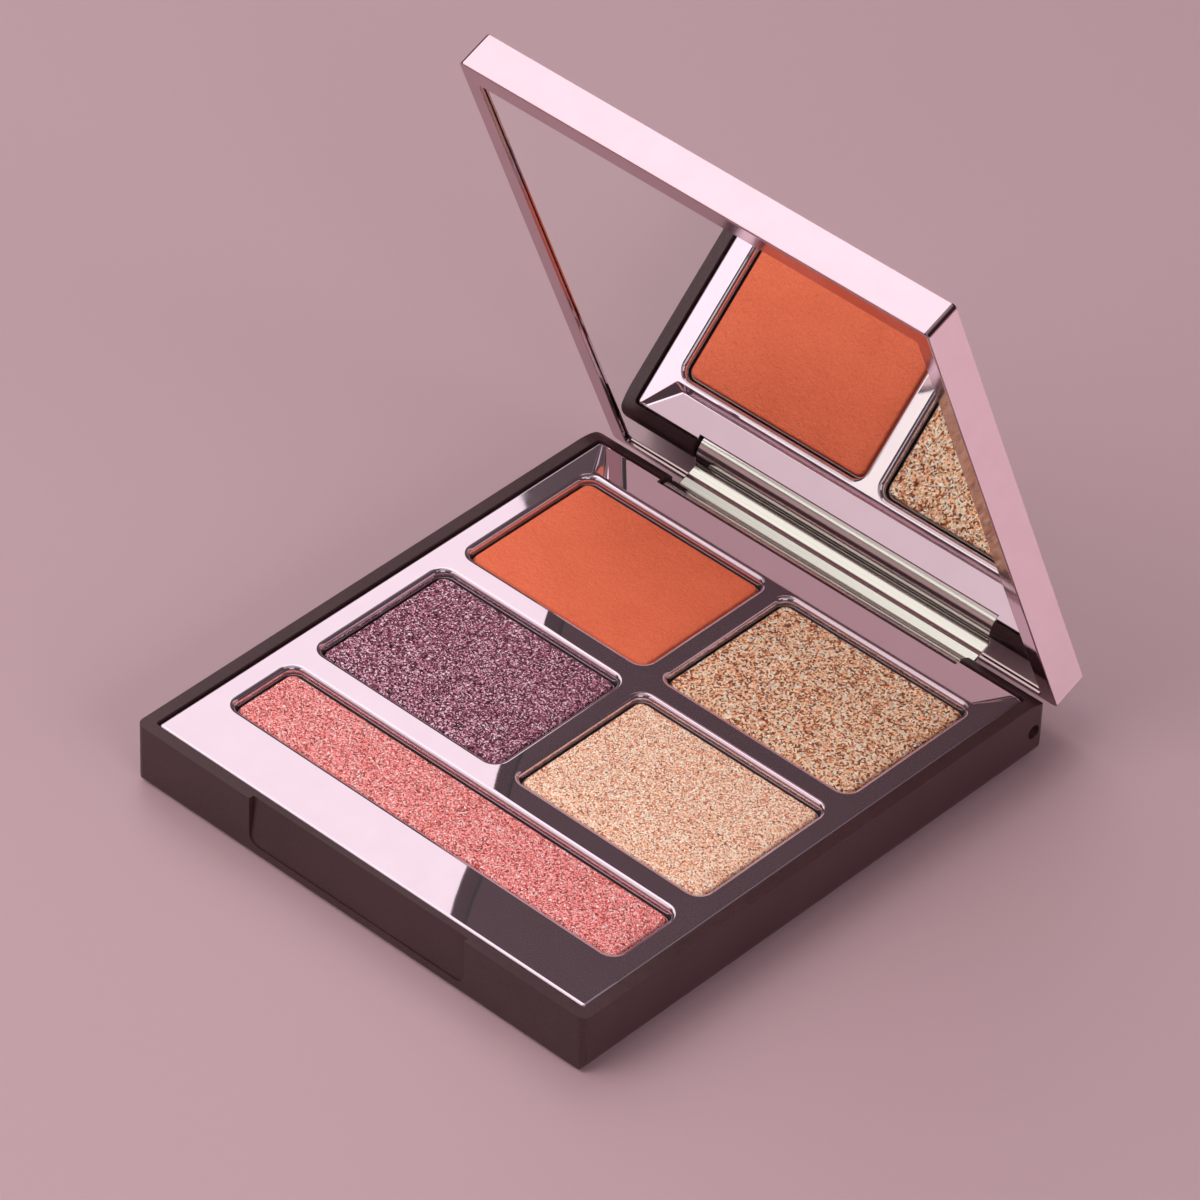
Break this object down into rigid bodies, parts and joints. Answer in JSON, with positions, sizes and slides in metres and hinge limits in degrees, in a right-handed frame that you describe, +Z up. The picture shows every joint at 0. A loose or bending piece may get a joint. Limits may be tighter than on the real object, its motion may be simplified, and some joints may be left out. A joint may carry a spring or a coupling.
{
  "type": "eyeshadow palette",
  "caption": "square make-up compact with pressed eyeshadow pans in a metallised tray, a thumb recess at the front and a hinged lid with a mirror inside",
  "frame": {"origin": "the centre of the flat underside of the base", "axes": "+X right along the front edge, +Y from the thumb recess at the front to the hinge at the back, +Z up from the table"},
  "size_m": [0.076, 0.0906, 0.0827],
  "materials": {
    "case_brown": "satin moulded plastic with a very fine grain",
    "tray_metallised": "vacuum-metallised plastic, rose, mirror bright",
    "pan_aluminium": "thin stamped aluminium",
    "powder_rose": "pressed powder, coral pink with a fine shimmer",
    "powder_plum": "pressed powder, dark plum with glitter",
    "powder_champagne": "pressed powder, peach gold with a satin shimmer",
    "powder_terracotta": "pressed powder, matte terracotta",
    "powder_gold": "pressed powder, antique gold with coarse glitter",
    "adhesive": "thin adhesive film",
    "pin_steel": "drawn wire",
    "magnet": "nickel-plated magnet disc",
    "lid_metallised": "vacuum-metallised plastic, pink, mirror bright",
    "mirror": "silvered glass"
  },
  "bodies": {
    "base": {"base_shell": "case_brown", "pan_tray": "tray_metallised", "pan_rose": "pan_aluminium", "pan_plum": "pan_aluminium", "pan_champagne": "pan_aluminium", "pan_terracotta": "pan_aluminium", "pan_gold": "pan_aluminium", "powder_rose": "powder_rose", "powder_plum": "powder_plum", "powder_champagne": "powder_champagne", "powder_terracotta": "powder_terracotta", "powder_gold": "powder_gold", "pan_glue_rose": "adhesive", "pan_glue_plum": "adhesive", "pan_glue_champagne": "adhesive", "pan_glue_terracotta": "adhesive", "pan_glue_gold": "adhesive", "hinge_pin_left": "pin_steel", "hinge_pin_right": "pin_steel", "base_magnet_left": "magnet", "base_magnet_right": "magnet"},
    "lid": {"lid_shell": "lid_metallised", "mirror": "mirror", "mirror_tape": "adhesive", "lid_magnet_left": "magnet", "lid_magnet_right": "magnet"}
  },
  "joints": [
    {"name": "lid_hinge", "type": "hinge", "parent": "base", "child": "lid", "pos_m": [0, 0.0395, 0.0044], "axis": [-1, 0, 0], "range_deg": [-68, 42]}
  ]
}
